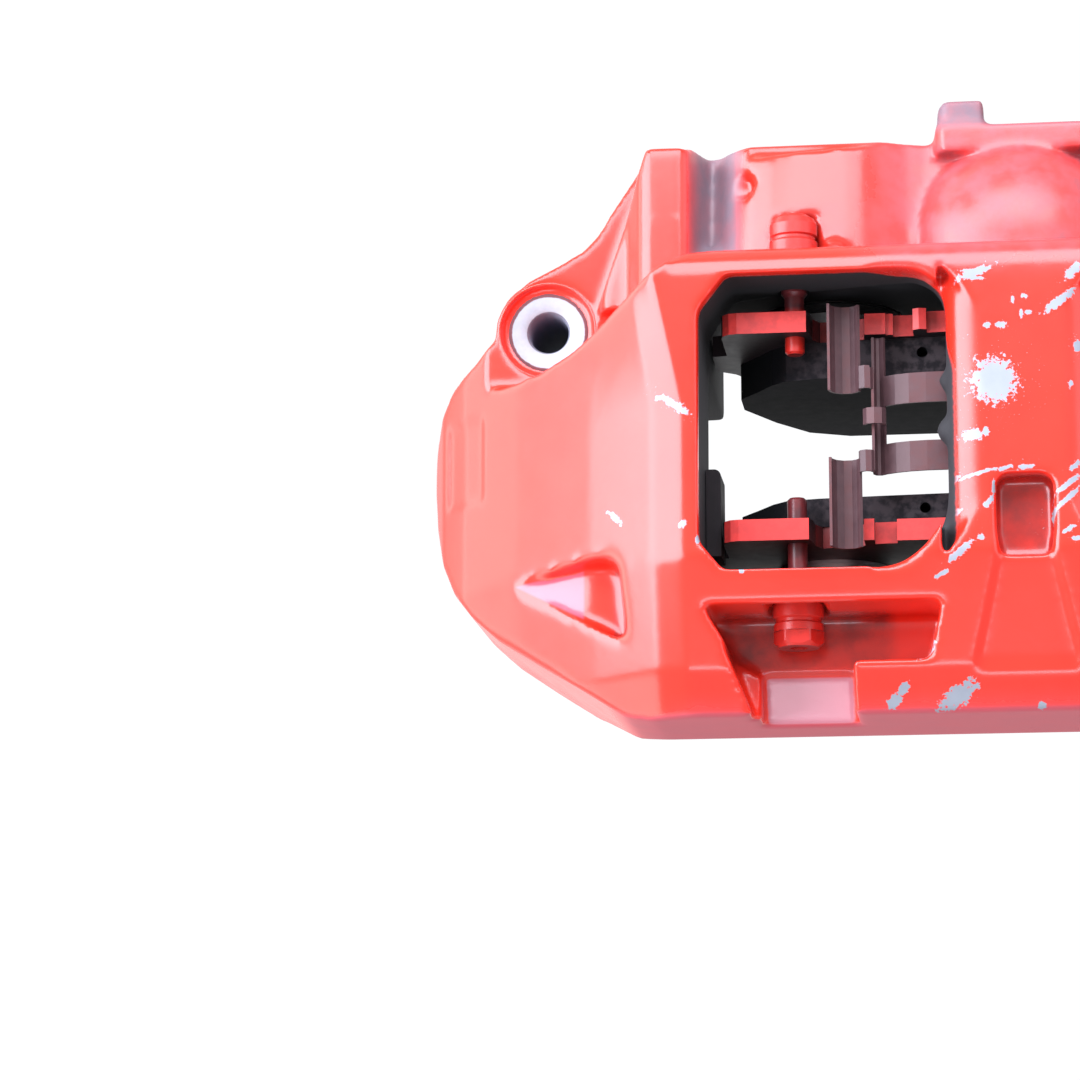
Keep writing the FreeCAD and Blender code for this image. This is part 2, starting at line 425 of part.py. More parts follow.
# pad pins: collar and dome inboard, collar, groove and hexagon outboard
for side_name, s in (("left", -1), ("right", 1)):
    x = s * val["pin_x"]
    prof = [("0", "0"), ("pin_rad - 0.7", "0"), ("pin_rad", "0.7"), ("pin_rad", "17.4"), ("pin_thread_rad - 0.1", "18.6"), ("pin_thread_rad - 0.1", "28.9"),
            ("pin_head_rad - 0.2", "28.9"), ("pin_head_rad", "29.5"), ("pin_head_rad", "34.2"), ("pin_head_rad - 0.7", "34.9"), ("pin_head_rad - 0.7", "35.7"),
            ("pin_head_rad - 0.1", "36.2"), ("pin_head_rad - 0.1", "39.6"), ("pin_head_rad - 0.9", "41.4"), ("pin_head_rad - 2.7", "42.7"), ("0", "43.3")]
    keep("pad_pin_inboard_%s" % side_name, turned("pad_pin_inboard_%s" % side_name, prof, (x, D + 23.1, val["pin_z"]), (0, 1, 0)))
    prof = [("0", "0"), ("pin_rad - 0.7", "0"), ("pin_rad", "0.7"), ("pin_rad", "23.2"), ("pin_thread_rad - 0.1", "24.4"), ("pin_thread_rad - 0.1", "31.5"),
            ("pin_head_rad - 0.3", "31.5"), ("pin_head_rad + 0.35", "32.3"), ("pin_head_rad + 0.35", "36.0"), ("pin_head_rad - 0.5", "36.6"), ("pin_head_rad - 0.5", "37.4"),
            ("pin_head_rad + 0.1", "38.0"), ("pin_head_rad + 0.1", "43.4"), ("pin_head_rad - 1.3", "44.8"), ("0", "44.8")]
    stem = turned("pin_out_stem_%s" % side_name, prof, (x, D - 20.6, val["pin_z"]), (0, -1, 0))
    hexa = doc.addObject("Part::Prism", "pin_hex_%s" % side_name)
    hexa.Polygon = 6
    hexa.Circumradius = val["pin_hex"] / math.sqrt(3.0)
    hexa.Height = 9.0
    hexa.Placement = Placement(Vector(x, D - 20.6 - 40.2, val["pin_z"]), Rotation(Vector(0, 0, 1), Vector(0, -1, 0)))
    ring_o = doc.addObject("Part::Cylinder", "pin_ring_o_%s" % side_name)
    ring_o.Radius, ring_o.Height = 12.0, 9.0
    ring_o.Placement = hexa.Placement
    shave = doc.addObject("Part::Cut", "pin_shave_%s" % side_name)
    shave.Base, shave.Tool = ring_o, hexa
    sock = doc.addObject("Part::Prism", "pin_socket_%s" % side_name)
    sock.Polygon = 6
    sock.Circumradius = 2.9
    sock.Height = 6.0
    sock.Placement = Placement(Vector(x, D - 20.6 - 40.6, val["pin_z"]), Rotation(Vector(0, 0, 1), Vector(0, -1, 0)))
    off = doc.addObject("Part::MultiFuse", "pin_shaves_%s" % side_name)
    off.Shapes = [shave, sock]
    pin = doc.addObject("Part::Cut", "pin_out_%s" % side_name)
    pin.Base, pin.Tool = stem, off
    keep("pad_pin_outboard_%s" % side_name, pin)

# bleed screws, caps, gallery plugs, abutment plates
for half, gy, x0 in (("inboard", GI, 123.4), ("outboard", GO, 127.0)):
    base_x = x0 - 12.4
    prof = [("0", "0"), ("gallery_rad - 0.1", "0"), ("gallery_rad - 0.1", "5.1"), ("bleed_thread_rad - 0.05", "7.4"), ("bleed_thread_rad - 0.05", "12.6"), ("bleed_thread_rad + 2.4", "12.6"),
            ("bleed_thread_rad + 2.4", "13.8"), ("bleed_thread_rad + 1.4", "14.0"), ("bleed_thread_rad + 1.4", "19.8"), ("bleed_thread_rad + 0.6", "20.4"), ("3.2", "20.6"),
            ("2.6", "22.0"), ("2.6", "24.6"), ("3.3", "25.2"), ("3.3", "26.8"), ("2.4", "29.4"), ("1.1", "29.4"), ("1.1", "9.0"), ("0", "9.0")]
    stem = turned("bleed_stem_%s" % half, prof, (base_x, gy, val["bleed_z"]), (1, 0, 0))
    hexa = doc.addObject("Part::Prism", "bleed_hexagon_%s" % half)
    hexa.Polygon = 6
    hexa.Circumradius = val["bleed_hex"] / math.sqrt(3.0)
    hexa.Height = 6.6
    hexa.Placement = Placement(Vector(base_x + 13.8, gy, val["bleed_z"]), Rotation(Vector(0, 0, 1), Vector(1, 0, 0)))
    ring_o = doc.addObject("Part::Cylinder", "bleed_ring_%s" % half)
    ring_o.Radius, ring_o.Height = 12.0, 6.6
    ring_o.Placement = hexa.Placement
    shave = doc.addObject("Part::Cut", "bleed_shave_%s" % half)
    shave.Base, shave.Tool = ring_o, hexa
    screw = doc.addObject("Part::Cut", "bleed_cut_%s" % half)
    screw.Base, screw.Tool = stem, shave
    keep("bleed_screw_%s" % half, screw)
    prof = [("3.36", "0"), ("cap_rad", "0"), ("cap_rad", "1.6"), ("cap_rad - 0.7", "2.2"), ("cap_rad - 0.9", "cap_long - 2"), ("cap_rad - 2.4", "cap_long"),
            ("0", "cap_long"), ("0", "cap_long - 2.4"), ("3.36", "cap_long - 2.6")]
    keep("bleed_cap_%s" % half, turned("bleed_cap_%s" % half, prof, (base_x + 20.8, gy, val["bleed_z"]), (1, 0, 0)))


def plug(node, base, axis, length):
    o = doc.addObject("Part::Cylinder", node + "_rod")
    o.setExpression("Radius", bound("plug_rad - 0.05"))
    o.Height = length
    o.Placement = Placement(Vector(*base), Rotation(Vector(0, 0, 1), Vector(*axis)))
    keep(node, o)


plug("gallery_plug_cross", (GX, D + 85.5, 70.0), (0, 1, 0), 5.4)
plug("gallery_plug_inboard", (GX, GI, 73.5), (0, 0, 1), 4.4)
plug("gallery_plug_outboard", (GX, GO, 86.1), (0, 0, 1), 5.6)
for side_name, s in (("left", -1), ("right", 1)):
    o = doc.addObject("Part::Box", "abutment_%s" % side_name)
    o.Length, o.Width, o.Height = 4.4, 26.2, 15.0
    o.Placement = Placement(Vector(-93.65 if s < 0 else 89.25, D - 37.4, 69.9), Rotation())
    f = doc.addObject("Part::Fillet", "abutment_round_%s" % side_name)
    f.Base = o
    doc.recompute()
    ids = [i + 1 for i, e in enumerate(o.Shape.Edges) if abs(e.BoundBox.YLength) < 1e-6 and e.BoundBox.ZLength > 5 and e.CenterOfMass.y > D - 20 and abs(e.CenterOfMass.x) < 91]
    f.Edges = [(i, 2.0, 2.0) for i in ids]
    keep("abutment_plate_%s" % side_name, f)

# pad spring: one stamped leaf, 0.8 thick
T = val["spring_thick"]


def strip(pts, width0, width1, t=T):
    """Sheet strip: a polyline in X and Z thickened to t, running from width0 to width1 in Y."""
    up, down = [], []
    n = len(pts)
    for k in range(n):
        a = pts[max(k - 1, 0)]
        b = pts[min(k + 1, n - 1)]
        dx, dz = b[0] - a[0], b[1] - a[1]
        m = math.hypot(dx, dz)
        nx, nz = -dz / m * t / 2, dx / m * t / 2
        up.append((pts[k][0] + nx, pts[k][1] + nz))
        down.append((pts[k][0] - nx, pts[k][1] - nz))
    return prism_xz(up + down[::-1], width0, width1)


half_spring = [
    Part.makeBox(22, 30, T, Vector(-22, D - 15, 92.2)),
    strip([(-40.4, 88.2), (-37.0, 90.2), (-33.0, 91.6), (-28, 92.4), (-20, 92.6)], 5.6, 14.6),
    strip([(-40.4, 88.2), (-37.0, 90.2), (-33.0, 91.6), (-28, 92.4), (-20, 92.6)], -14.9, -5.9),
    strip([(-43.6, 94.6), (-43.6, 88.6), (-42.9, 87.2), (-41.6, 87.0), (-40.2, 88.3)], -14.9, 26.5),
    # curls that carry the two gutters, and the clip in the middle
    strip([(-43.6, 94.2), (-44.4, 95.4), (-45.8, 95.8), (-47.2, 95.0), (-47.6, 93.6)], 9.6, 16.4),
    strip([(-43.6, 94.2), (-44.4, 95.4), (-45.8, 95.8), (-47.2, 95.0), (-47.6, 93.6)], -15.4, -9.0),
    strip([(-46.2, 94.0), (-45.2, 95.6), (-43.2, 96.2), (-41.2, 95.6), (-40.2, 94.0), (-40.2, 92.8)], -1.2, 3.6),
    strip([(-43.6, 93.6), (-43.6, 96.3)], -1.2, 3.6),
    strip([(-56.2, 97.2), (-56.0, 95.0), (-54.8, 92.8), (-52.6, 91.4), (-50.0, 91.5), (-48.4, 92.6), (-47.4, 94.2)], 9.0, 35.2),
    strip([(-56.2, 97.2), (-56.0, 95.0), (-54.8, 92.8), (-52.6, 91.4), (-50.0, 91.5), (-48.4, 92.6), (-47.4, 94.2)], -37.6, -11.2),
]
spring = half_spring[0]
spring = spring.multiFuse(half_spring[1:])
# the upper lip of the leaf is cut back beyond the curls
spring = spring.cut(Part.makeBox(2.2, 11.4, 8, Vector(-44.4, D + 15.8, 88.9)))
spring = spring.fuse(mirrored(spring))
one = doc.addObject("Part::Feature", "stamped_spring")
one.Shape = spring.removeSplitter()
keep("pad_spring", one)
print("spring solids", len(one.Shape.Solids), one.Shape.isValid())

doc.recompute()
bad = 0
for o in doc.Objects:
    if "Invalid" in o.State or "Error" in o.State:
        print("BAD STATE", o.Name, o.State)
        bad += 1
for node, o in made.items():
    sh = o.Shape
    if sh.isNull() or not sh.isValid() or not sh.Solids:
        print("BAD SHAPE", node)
        bad += 1
    elif len(sh.Solids) != 1:
        print("several solids", node, len(sh.Solids))
if bad:
    raise RuntimeError("%d parts are not sound" % bad)
for node, o in made.items():
    o.Shape.exportStep("parts/%s.step" % node)
print(len(made), "parts written")
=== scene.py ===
import math
import bpy
import bmesh
import json
import numpy as np
from mathutils import Vector, Matrix


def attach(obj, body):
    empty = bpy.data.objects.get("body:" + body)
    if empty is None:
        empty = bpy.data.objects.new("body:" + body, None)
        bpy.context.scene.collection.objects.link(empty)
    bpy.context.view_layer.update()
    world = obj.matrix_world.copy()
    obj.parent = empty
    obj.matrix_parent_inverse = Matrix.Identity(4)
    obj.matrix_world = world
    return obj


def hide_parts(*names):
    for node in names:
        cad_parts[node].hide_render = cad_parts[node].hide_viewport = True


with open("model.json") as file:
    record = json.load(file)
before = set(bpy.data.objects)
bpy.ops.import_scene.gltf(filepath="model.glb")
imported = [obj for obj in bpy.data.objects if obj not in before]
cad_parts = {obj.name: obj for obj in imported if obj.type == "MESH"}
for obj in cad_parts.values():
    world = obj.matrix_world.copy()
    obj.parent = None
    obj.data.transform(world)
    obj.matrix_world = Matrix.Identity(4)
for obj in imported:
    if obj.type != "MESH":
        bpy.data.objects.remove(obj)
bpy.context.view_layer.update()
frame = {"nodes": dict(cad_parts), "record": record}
nodes = frame["nodes"]


scene = bpy.context.scene
coll = scene.collection
D = -0.040          # disc mid-plane in Y


# ---------------------------------------------------------------- mesh helpers
def new_object(name, verts, faces, smooth=True):
    me = bpy.data.meshes.new(name)
    me.from_pydata([tuple(map(float, v)) for v in verts], [], [tuple(int(i) for i in f) for f in faces])
    me.validate()
    me.update()
    if smooth:
        me.polygons.foreach_set("use_smooth", [True] * len(me.polygons))
    ob = bpy.data.objects.new(name, me)
    coll.objects.link(ob)
    return ob


def coords(me):
    co = np.zeros(len(me.vertices) * 3)
    me.vertices.foreach_get("co", co)
    return co.reshape(-1, 3)


def set_coords(me, co):
    me.vertices.foreach_set("co", co.astype(np.float32).ravel())
    me.update()


def edges_of(me):
    e = np.zeros(len(me.edges) * 2, np.int32)
    me.edges.foreach_get("vertices", e)
    return e.reshape(-1, 2)


def normals_of(me):
    n = np.zeros(len(me.vertices) * 3)
    me.vertices.foreach_get("normal", n)
    return n.reshape(-1, 3)


def relax(co, e, steps, weight, lam=0.5):
    """Weighted neighbour averaging: rounds edges and leaves flat faces as they are."""
    n = len(co)
    deg = np.bincount(e.ravel(), minlength=n).astype(float)
    deg[deg == 0] = 1
    for _ in range(steps):
        acc = np.zeros_like(co)
        for k in range(3):
            acc[:, k] = np.bincount(e[:, 0], co[e[:, 1], k], n) + np.bincount(e[:, 1], co[e[:, 0], k], n)
        co = co + (acc / deg[:, None] - co) * (lam * weight)[:, None]
    return co


def step01(x, a, b):
    t = np.clip((x - a) / (b - a), 0, 1)
    return t * t * (3 - 2 * t)


def evaluated(ob):
    dg = bpy.context.evaluated_depsgraph_get()
    me = bpy.data.meshes.new_from_object(ob.evaluated_get(dg))
    return me


def remeshed(source, name, voxel):
    """A closed even mesh of a CAD node, ready for rounding."""
    me = source.data.copy()
    bm = bmesh.new()
    bm.from_mesh(me)
    bmesh.ops.remove_doubles(bm, verts=bm.verts, dist=2e-6)
    bm.to_mesh(me)
    bm.free()
    ob = bpy.data.objects.new(name, me)
    coll.objects.link(ob)
    mod = ob.modifiers.new("vox", "REMESH")
    mod.mode = "VOXEL"
    mod.voxel_size = voxel
    mod.adaptivity = 0.0
    out = evaluated(ob)
    ob.modifiers.clear()
    ob.data = out
    ob.data.materials.clear()
    return ob


def thin_out(ob, ratio):
    mod = ob.modifiers.new("dec", "DECIMATE")
    mod.ratio = ratio
    out = evaluated(ob)
    ob.modifiers.clear()
    ob.data = out
    return ob


# ---------------------------------------------------------------- node material helpers
class Mat:
    def __init__(self, name):
        self.m = bpy.data.materials.new(name)
        self.m.use_nodes = True
        self.t = self.m.node_tree
        for n in list(self.t.nodes):
            self.t.nodes.remove(n)
        self.out = self.t.nodes.new("ShaderNodeOutputMaterial")
        self.b = self.t.nodes.new("ShaderNodeBsdfPrincipled")
        self.t.links.new(self.b.outputs[0], self.out.inputs[0])
        self.tc = self.t.nodes.new("ShaderNodeTexCoord")
        self.geo = self.t.nodes.new("ShaderNodeNewGeometry")
        sep = self.t.nodes.new("ShaderNodeSeparateXYZ")
        self.t.links.new(self.tc.outputs["Object"], sep.inputs[0])
        self.x, self.y, self.z = sep.outputs
        sn = self.t.nodes.new("ShaderNodeSeparateXYZ")
        self.t.links.new(self.geo.outputs["Normal"], sn.inputs[0])
        self.nx, self.ny, self.nz = sn.outputs

    def link(self, a, b):
        self.t.links.new(a, b)

    def put(self, sock, v):
        if isinstance(v, (int, float)):
            sock.default_value = v
        elif isinstance(v, (tuple, list)):
            sock.default_value = tuple(v) if len(v) == 4 else (*v, 1.0)
        else:
            self.link(v, sock)

    def math(self, op, a, b=0.0, c=None, clamp=False):
        n = self.t.nodes.new("ShaderNodeMath")
        n.operation = op
        n.use_clamp = clamp
        self.put(n.inputs[0], a)
        self.put(n.inputs[1], b)
        if c is not None:
            self.put(n.inputs[2], c)
        return n.outputs[0]

    def ramp(self, v, a, b, lo=0.0, hi=1.0, smooth=True):
        n = self.t.nodes.new("ShaderNodeMapRange")
        n.interpolation_type = "SMOOTHSTEP" if smooth else "LINEAR"
        self.put(n.inputs["Value"], v)
        n.inputs["From Min"].default_value = a
        n.inputs["From Max"].default_value = b
        n.inputs["To Min"].default_value = lo
        n.inputs["To Max"].default_value = hi
        return n.outputs["Result"]

    def noise(self, scale, detail=3.0, rough=0.55, offset=(0, 0, 0), stretch=(1, 1, 1), distort=0.0):
        mp = self.t.nodes.new("ShaderNodeMapping")
        mp.inputs["Location"].default_value = offset
        mp.inputs["Scale"].default_value = stretch
        self.link(self.tc.outputs["Object"], mp.inputs[0])
        n = self.t.nodes.new("ShaderNodeTexNoise")
        n.inputs["Scale"].default_value = scale
        n.inputs["Detail"].default_value = detail
        n.inputs["Roughness"].default_value = rough
        n.inputs["Distortion"].default_value = distort
        self.link(mp.outputs[0], n.inputs["Vector"])
        return n.outputs["Fac"]

    def mix(self, f, a, b):
        n = self.t.nodes.new("ShaderNodeMix")
        n.data_type = "RGBA"
        self.put(n.inputs[0], f)
        self.put(n.inputs[6], a)
        self.put(n.inputs[7], b)
        return n.outputs[2]

    def fmix(self, f, a, b):
        n = self.t.nodes.new("ShaderNodeMix")
        self.put(n.inputs[0], f)
        self.put(n.inputs[2], a)
        self.put(n.inputs[3], b)
        return n.outputs[0]

    def blob(self, cx, cy, cz, r, soft=0.35, sx=1.0, sy=1.0, sz=1.0, wob=0.0, noise=None):
        """1 inside a ball or ellipsoid about a point in millimetres, 0 outside, edge broken up by noise."""
        parts = []
        for s, c, k in ((self.x, cx, sx), (self.y, cy, sy), (self.z, cz, sz)):
            d = self.math("MULTIPLY", self.math("SUBTRACT", s, c / 1000.0), 1.0 / k)
            parts.append(self.math("MULTIPLY", d, d))
        d = self.math("SQRT", self.math("ADD", self.math("ADD", parts[0], parts[1]), parts[2]))
        if noise is not None and wob:
            d = self.math("ADD", d, self.math("MULTIPLY", self.math("SUBTRACT", noise, 0.5), wob * r / 1000.0))
        return self.ramp(d, r * (1 - soft) / 1000.0, r * (1 + soft) / 1000.0, 1.0, 0.0)

    def maximum(self, *vs):
        v = vs[0]
        for w in vs[1:]:
            v = self.math("MAXIMUM", v, w)
        return v

    def bump(self, height, dist, strength=1.0, normal=None):
        n = self.t.nodes.new("ShaderNodeBump")
        n.inputs["Strength"].default_value = strength
        n.inputs["Distance"].default_value = dist
        self.link(height, n.inputs["Height"])
        if normal is not None:
            self.link(normal, n.inputs["Normal"])
        return n.outputs["Normal"]

    def bsdf(self, color=None, rough=None, metal=None, normal=None, **const):
        if color is not None:
            self.put(self.b.inputs["Base Color"], color)
        if rough is not None:
            self.put(self.b.inputs["Roughness"], rough)
        if metal is not None:
            self.put(self.b.inputs["Metallic"], metal)
        if normal is not None:
            self.link(normal, self.b.inputs["Normal"])
        for k, v in const.items():
            self.b.inputs[k.replace("_", " ")].default_value = v
        return self.m


def only(ob, mat):
    ob.data.materials.clear()
    ob.data.materials.append(mat)


# ---------------------------------------------------------------- paint
# chips through the paint: x, y, half length, half width (mm), turn (deg)
CHIPS = [
    (-8.2, -32.7, 6.7, 6.6, 0), (11.0, -9.9, 5.1, 1.3, 37), (15.4, -1.0, 3.3, 1.4, 49), (-2.1, -9.1, 0.5, 1.1, 0),
    (1.2, -7.9, 0.9, 0.7, 0), (0.2, -13.2, 0.6, 1.3, 0), (2.2, -12.7, 1.1, 0.7, 0), (-9.6, -16.3, 1.1, 0.9, 0),
    (-5.6, -16.3, 1.7, 1.0, 0), (-13.2, -0.6, 5.7, 1.2, 22), (-14.9, 0.3, 2.2, 0.6, 0), (-12.2, -2.2, 2.0, 0.6, 0),
    (16.1, -23.3, 1.0, 2.1, 0), (13.8, -34.5, 0.7, 1.3, 0), (-14.7, -48.5, 3.4, 1.7, 0), (-10.7, -47.9, 0.9, 1.6, 0),
    (-20.7, -61.6, 3.1, 0.9, 37), (-13.4, -60.0, 6.3, 0.6, 14), (-5.5, -58.7, 2.4, 0.6, 20), (0.2, -58.5, 2.9, 0.7, 9),
    (-8.9, -64.1, 0.5, 2.4, 0), (-10.6, -68.8, 2.4, 0.9, 48), (-21.5, -66.3, 1.6, 1.4, 0), (-20.6, -71.1, 2.9, 0.9, 29),
    (-13.1, -78.8, 1.1, 0.9, 0), (-18.7, -82.6, 4.5, 1.1, 40), (12.1, -64.0, 4.8, 0.8, 39), (12.3, -67.8, 5.0, 0.8, 41),
    (14.7, -58.2, 2.1, 0.8, 39), (8.2, -71.9, 0.7, 1.8, 0), (12.5, -76.8, 1.9, 0.7, 31), (14.2, -79.8, 1.3, 0.6, 0),
    (-24.1, -88.7, 2.2, 0.7, 27), (-100.2, -37.3, 5.4, 1.3, -35), (-100.1, -37.3, 2.3, 0.9, 0), (-104.9, -34.2, 1.3, 0.9, 0),
]
# on the lower parts of the outboard side and the left slope
LOW_CHIPS = [
    (-98.4, -72.6, 1.2, 1.2, 0), (-94.1, -77.5, 0.7, 1.3, 0), (-29.6, -109.1, 3.5, 1.6, 47), (-39.0, -122.5, 2.7, 1.5, 38),
    (-36.4, -119.5, 2.3, 1.3, 45), (-20.6, -121.4, 6.4, 2.6, 34), (-19.2, -120.9, 2.5, 1.7, 0), (3.3, -124.4, 1.1, 0.9, 0),
    (-119.8, -67.3, 3.6, 0.9, -47), (-81.7, -86.4, 0.7, 0.7, 0),
]


def chip_distance(k, chips):
    """Distance to the nearest listed chip, 1 on its outline."""
    best = None
    for x, y, a, b, turn in chips:
        mp = k.t.nodes.new("ShaderNodeMapping")
        mp.vector_type = "TEXTURE"
        mp.inputs["Location"].default_value = (x / 1000, y / 1000, 0.0)
        mp.inputs["Rotation"].default_value = (0, 0, math.radians(turn))
        mp.inputs["Scale"].default_value = (a / 1000, b / 1000, 1.0)
        k.link(k.flat, mp.inputs[0])
        ln = k.t.nodes.new("ShaderNodeVectorMath")
        ln.operation = "LENGTH"
        k.link(mp.outputs[0], ln.inputs[0])
        best = ln.outputs["Value"] if best is None else k.math("MINIMUM", best, ln.outputs["Value"])
    return best


def inside(k, axis, lo, hi, soft):
    """1 between two heights in millimetres along one axis, with soft ends."""
    u = k.ramp(axis, (lo - soft) / 1000, (lo + soft) / 1000)
    v = k.ramp(axis, (hi - soft) / 1000, (hi + soft) / 1000, 1.0, 0.0)
    return k.math("MULTIPLY", u, v)


def times(k, *vs):
    v = vs[0]
    for w in vs[1:]:
        v = k.math("MULTIPLY", v, w)
    return v


def red_paint():
    k = Mat("red_paint_worn")
    comb = k.t.nodes.new("ShaderNodeCombineXYZ")
    k.link(k.x, comb.inputs[0])
    k.link(k.y, comb.inputs[1])
    k.flat = comb.outputs[0]
    ax = k.math("ABSOLUTE", k.x)
    big = k.noise(22, 3, 0.6)
    mid = k.noise(120, 4, 0.6, (0.3, 0.1, 0.7))
    fine = k.noise(700, 4, 0.65)
    spk = k.noise(1500, 2, 0.5, (0.6, 0.2, 0.1))
    col = k.mix(k.ramp(big, 0.35, 0.7), (0.60, 0.0200, 0.0100), (0.54, 0.0165, 0.0080))
    rough = k.fmix(mid, 0.19, 0.26)

    # grey dust and painted sheen: a pale mauve-grey over the inboard band, the saddles between the barrels, the
    # outboard face and every hollow, partly dust and partly placed to stand in for reflections
    band = times(k, k.ramp(k.y, -0.004, 0.012), k.ramp(ax, 0.055, 0.030), k.ramp(k.z, 0.05, 0.07))
    channel = times(k, inside(k, ax, 84, 98, 3.0), inside(k, k.y, 6, 60, 4.0), k.ramp(k.z, 0.085, 0.076))
    rear = times(k, k.ramp(k.y, 0.050, 0.058), k.ramp(k.z, 0.082, 0.070))
    boss = times(k, k.ramp(k.y, 0.052, 0.0575), k.ramp(k.z, 0.060, 0.064), k.ramp(ax, 0.052, 0.046))
    face = times(k, k.ramp(k.y, -0.118, -0.127), k.ramp(k.ny, -0.55, -0.85))
    low = k.ramp(k.z, 0.040, 0.0)
    patch = k.ramp(mid, 0.30, 0.72)
    dust_and_sheen = k.maximum(k.math("MULTIPLY", band, k.fmix(patch, 0.22, 0.62)),
                     k.math("MULTIPLY", channel, k.fmix(patch, 0.55, 0.95)),
                     k.math("MULTIPLY", rear, k.fmix(patch, 0.40, 0.75)),
                     k.math("MULTIPLY", boss, k.fmix(patch, 0.82, 1.0)),
                     k.math("MULTIPLY", face, k.fmix(patch, 0.20, 0.40)),
                     k.math("MULTIPLY", low, k.fmix(patch, 0.05, 0.30)))
    col = k.mix(dust_and_sheen, col, (0.108, 0.068, 0.088))
    col = k.mix(k.math("MULTIPLY", channel, 0.7), col, (0.14, 0.112, 0.138))
    # painted reflection with dust: faces turned outboard get a pinker dull red, standing in for the pale floor
    # reflected in them
    col = k.mix(k.math("MULTIPLY", face, 0.8), col, (0.37, 0.045, 0.072))
    rough = k.fmix(k.maximum(dust_and_sheen, face), rough, 0.60)

    # dark film and painted shade in the hollows round the pins and along creases: near-black where shade falls, partly
    # dirt
    grime_and_shade = k.maximum(
        times(k, inside(k, ax, 40, 90, 3.0), inside(k, k.y, -110, -90, 4.0), k.ramp(k.z, 0.092, 0.080), k.fmix(patch, 0.35, 0.9)),
        times(k, inside(k, ax, 52, 82, 3.0), inside(k, k.y, 8, 30, 3.0), k.ramp(k.z, 0.094, 0.082), k.fmix(patch, 0.1, 0.7)),
        times(k, inside(k, ax, 114.5, 122.0, 1.0), inside(k, k.y, -100.5, -80, 1.0), k.ramp(k.z, 0.0925, 0.0895), k.fmix(patch, 0.6, 0.9)),
        times(k, inside(k, ax, -5, 9.5, 1.5), inside(k, k.y, -86, -56, 3.0), k.ramp(k.z, 0.108, 0.104), k.fmix(patch, 0.35, 0.8)))
    col = k.mix(k.math("MULTIPLY", grime_and_shade, 0.75), col, (0.020, 0.012, 0.014))

    # painted highlight: the upward faces of the notch floor are turned pale pink to stand in for a reflection
    notch_floor_highlight = times(k, inside(k, ax, 50.9, 78.0, 0.5), inside(k, k.y, -130, -111, 0.6), k.ramp(k.z, 0.078, 0.074))
    notch_floor_highlight = k.math("MULTIPLY", notch_floor_highlight, k.ramp(k.nz, 0.6, 0.8))
    # painted highlight: the ramp facet in each triangular shoulder pocket is turned paler to stand in for a reflection
    fall = k.math("ADD", k.z, k.math("MULTIPLY", ax, 0.498))
    under = k.math("ADD", k.math("SUBTRACT", k.y, k.math("MULTIPLY", ax, 0.5686)), 0.16945)
    over = k.math("SUBTRACT", k.math("MULTIPLY", ax, -0.116), k.math("ADD", k.y, 0.063678))
    pocket_facet_highlight = times(k, inside(k, ax, 131, 153, 0.6), k.ramp(under, 0.0, 0.0012), k.ramp(over, 0.0, 0.0010), inside(k, fall, 140.8, 144.2, 0.4), k.ramp(k.nz, 0.6, 0.75))
    col = k.mix(k.math("MULTIPLY", notch_floor_highlight, 0.85), col, (0.42, 0.175, 0.220))
    col = k.mix(k.math("MULTIPLY", pocket_facet_highlight, 0.8), col, (0.38, 0.066, 0.104))
    # bare and near-black inside, partly grime and partly painted shade: pad cavity, bores, slot walls, bolt holes
    zin = k.math("ADD", k.z, k.math("MULTIPLY", k.math("SUBTRACT", fine, 0.5), 0.0016))
    zin = k.math("ADD", zin, k.math("MULTIPLY", times(k, k.ramp(ax, 0.046, 0.034), k.ramp(k.y, -0.030, -0.012)), 0.0060))
    cav = times(k, k.ramp(ax, 0.0956, 0.0944), inside(k, k.y, -85.4, 5.4, 0.5), k.ramp(zin, 0.1068, 0.1050))
    notch = times(k, k.ramp(ax, 0.0120, 0.0110), inside(k, k.y, -92, -52, 0.5), k.ramp(k.z, 0.092, 0.094))
    cav = k.math("MULTIPLY", cav, k.math("SUBTRACT", 1.0, notch))
    zz = k.math("ADD", k.z, 0.105)
    reach = k.math("SQRT", k.math("ADD", k.math("MULTIPLY", k.x, k.x), k.math("MULTIPLY", zz, zz)))
    slot = times(k, inside(k, k.y, -61.2, -18.8, 0.3), k.ramp(reach, 0.1996, 0.1990))
    dark = k.maximum(cav, slot)
    col = k.mix(dark, col, k.mix(mid, (0.003, 0.003, 0.0045), (0.009, 0.007, 0.009)))
    rough = k.fmix(dark, rough, 0.80)

    # chips
    warp = k.math("MULTIPLY", k.math("SUBTRACT", fine, 0.5), 2.6)
    top = k.ramp(k.z, 0.088, 0.092)
    d = k.math("ADD", chip_distance(k, CHIPS), warp)
    hit = k.math("MULTIPLY", k.ramp(d, 0.94, 1.02, 1.0, 0.0), top)
    spots = k.math("MULTIPLY", k.ramp(spk, 0.70, 0.72), k.ramp(d, 3.2, 1.0, 0.0, 1.0))
    spots = k.math("MULTIPLY", spots, top)
    d2 = k.math("ADD", chip_distance(k, LOW_CHIPS), warp)
    hit2 = k.math("MULTIPLY", k.ramp(d2, 0.94, 1.02, 1.0, 0.0), times(k, k.ramp(k.z, 0.050, 0.056), k.ramp(k.y, -0.055, -0.060), k.ramp(k.nz, 0.10, 0.22)))
    chip = k.math("MULTIPLY", k.maximum(hit, spots, hit2), k.math("SUBTRACT", 1.0, dark))
    col = k.mix(chip, col, k.mix(mid, (0.16, 0.176, 0.205), (0.22, 0.235, 0.27)))
    rough = k.fmix(chip, rough, 0.5)

    peel = k.noise(380, 2, 0.5, (0.1, 0.5, 0.2))
    normal = k.bump(peel, 0.00005, 0.5)
    return k.bsdf(col, rough, 0.0, normal, Specular_IOR_Level=0.5)


